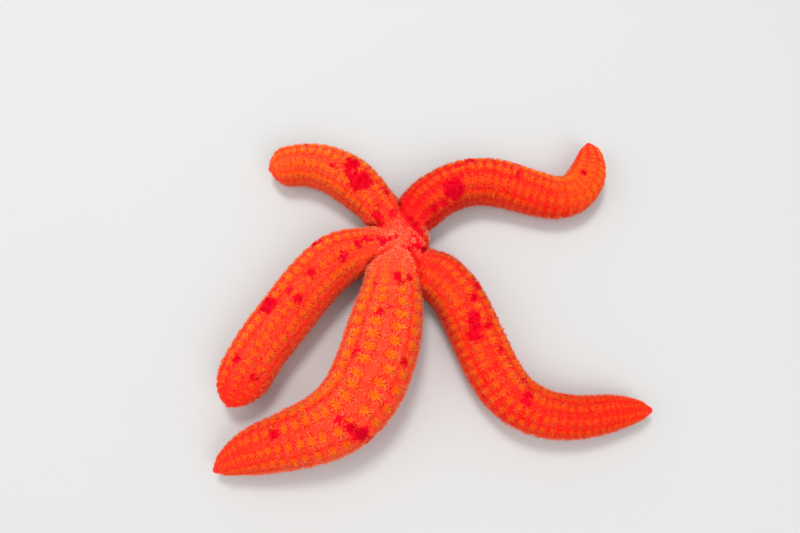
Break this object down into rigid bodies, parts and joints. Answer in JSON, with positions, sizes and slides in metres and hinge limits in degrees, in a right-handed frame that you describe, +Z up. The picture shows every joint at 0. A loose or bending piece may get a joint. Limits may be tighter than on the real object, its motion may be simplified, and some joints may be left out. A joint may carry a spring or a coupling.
{
  "type": "starfish",
  "caption": "Red starfish with a small disc and five long, nearly cylindrical, blunt-ended arms bent in loose curves, lying flat; rows of gill tufts above, grooves with tube feet below.",
  "frame": {"origin": "centre of the outline seen from above, on the floor that the soles lie on", "axes": "+Z up; +Y points away from the picture's camera, +X to its right"},
  "size_m": [0.1844, 0.1504, 0.0299],
  "materials": {
    "skin": "soft granular skin, red-orange with crimson blotches, slightly moist",
    "gill_tufts": "fine soft filaments, yellow-orange, translucent at their ends",
    "terminal_plate": "smooth hard plate, deep red",
    "madreporite": "finely furrowed, pale orange",
    "mouth": "soft, moist, pale orange",
    "tube_feet": "moist, pale orange, translucent",
    "spines": "small blunt spines, orange, satin"
  },
  "bodies": {
    "root": {"disc": "skin", "madreporite": "madreporite", "mouth_film": "mouth", "jaw_1": "mouth", "jaw_2": "mouth", "jaw_3": "mouth", "jaw_4": "mouth", "jaw_5": "mouth", "arm_1_base": "skin", "arm_1_inner": "skin", "arm_1_middle": "skin", "arm_1_outer": "skin", "arm_1_tip": "skin", "arm_1_terminal_plate": "terminal_plate", "arm_2_base": "skin", "arm_2_inner": "skin", "arm_2_middle": "skin", "arm_2_outer": "skin", "arm_2_tip": "skin", "arm_2_terminal_plate": "terminal_plate", "arm_3_base": "skin", "arm_3_inner": "skin", "arm_3_middle": "skin", "arm_3_outer": "skin", "arm_3_tip": "skin", "arm_3_terminal_plate": "terminal_plate", "arm_4_base": "skin", "arm_4_inner": "skin", "arm_4_middle": "skin", "arm_4_outer": "skin", "arm_4_tip": "skin", "arm_4_terminal_plate": "terminal_plate", "arm_5_base": "skin", "arm_5_inner": "skin", "arm_5_middle": "skin", "arm_5_outer": "skin", "arm_5_tip": "skin", "arm_5_terminal_plate": "terminal_plate"}
  },
  "joints": []
}
